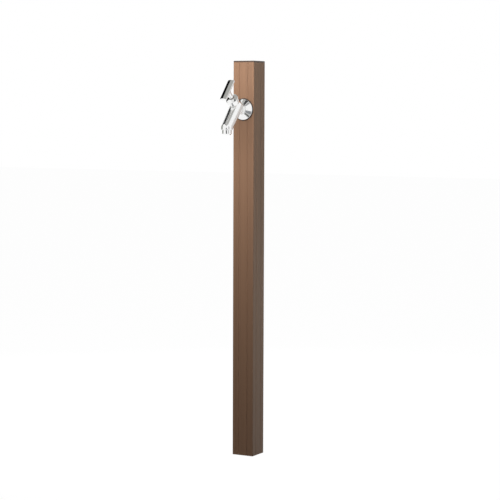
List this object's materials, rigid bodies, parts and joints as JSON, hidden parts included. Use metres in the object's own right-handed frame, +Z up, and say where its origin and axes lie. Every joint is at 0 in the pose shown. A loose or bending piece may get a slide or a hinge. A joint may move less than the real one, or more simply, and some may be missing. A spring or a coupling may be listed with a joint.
{
  "type": "garden standpipe",
  "caption": "Square aluminium garden standpipe with an internal water pipe and a chrome quarter-turn tap with a T handle and hose outlet.",
  "frame": {"origin": "centre of the post's foot, at the cut end of the profile", "axes": "+Z up the post, -Y towards the tap and its user, +X to the right of someone facing the tap"},
  "size_m": [0.07, 0.1981, 1.2],
  "materials": {
    "anodised_aluminium": "bronze anodised, satin",
    "cap_aluminium": "die cast, bronze coated, satin",
    "chrome": "polished chrome on cast brass",
    "brass": "machined",
    "nickel": "nickel plated, machined",
    "bronze": "cast and machined",
    "stainless": "plain",
    "grey_pvc": "extruded",
    "black_plastic": "moulded",
    "foam": "closed-cell foam",
    "fibre": "pressed fibre",
    "black_rubber": "smooth",
    "alumina": "lapped"
  },
  "bodies": {
    "column": {"column_profile": "anodised_aluminium", "top_cap": "cap_aluminium", "cap_screws": "stainless", "base_plug": "black_plastic", "supply_socket": "grey_pvc", "riser_pipe": "grey_pvc", "pipe_spacer_lower": "foam", "pipe_spacer_upper": "foam", "pipe_elbow": "bronze", "elbow_washer": "fibre", "elbow_lock_nut": "bronze", "flange_gasket": "black_rubber", "wall_flange": "chrome", "tap_body": "chrome", "bonnet_nut": "chrome", "headwork_housing": "nickel", "headwork_o_ring": "black_rubber", "seat_seal": "black_rubber", "fixed_disc": "alumina", "outlet_collar": "chrome", "flow_straightener": "black_plastic", "outlet_washer": "black_rubber"},
    "handle": {"handle_bar": "chrome", "handle_set_screw": "stainless", "spindle": "brass", "spindle_o_rings": "black_rubber", "spindle_clip": "stainless", "turning_disc": "alumina"}
  },
  "joints": [
    {"name": "handle_turn", "type": "hinge", "parent": "column", "child": "handle", "pos_m": [0, -0.1073, 1.0861], "axis": [0, -0.749, 0.6626], "range_deg": [0, 90]}
  ]
}
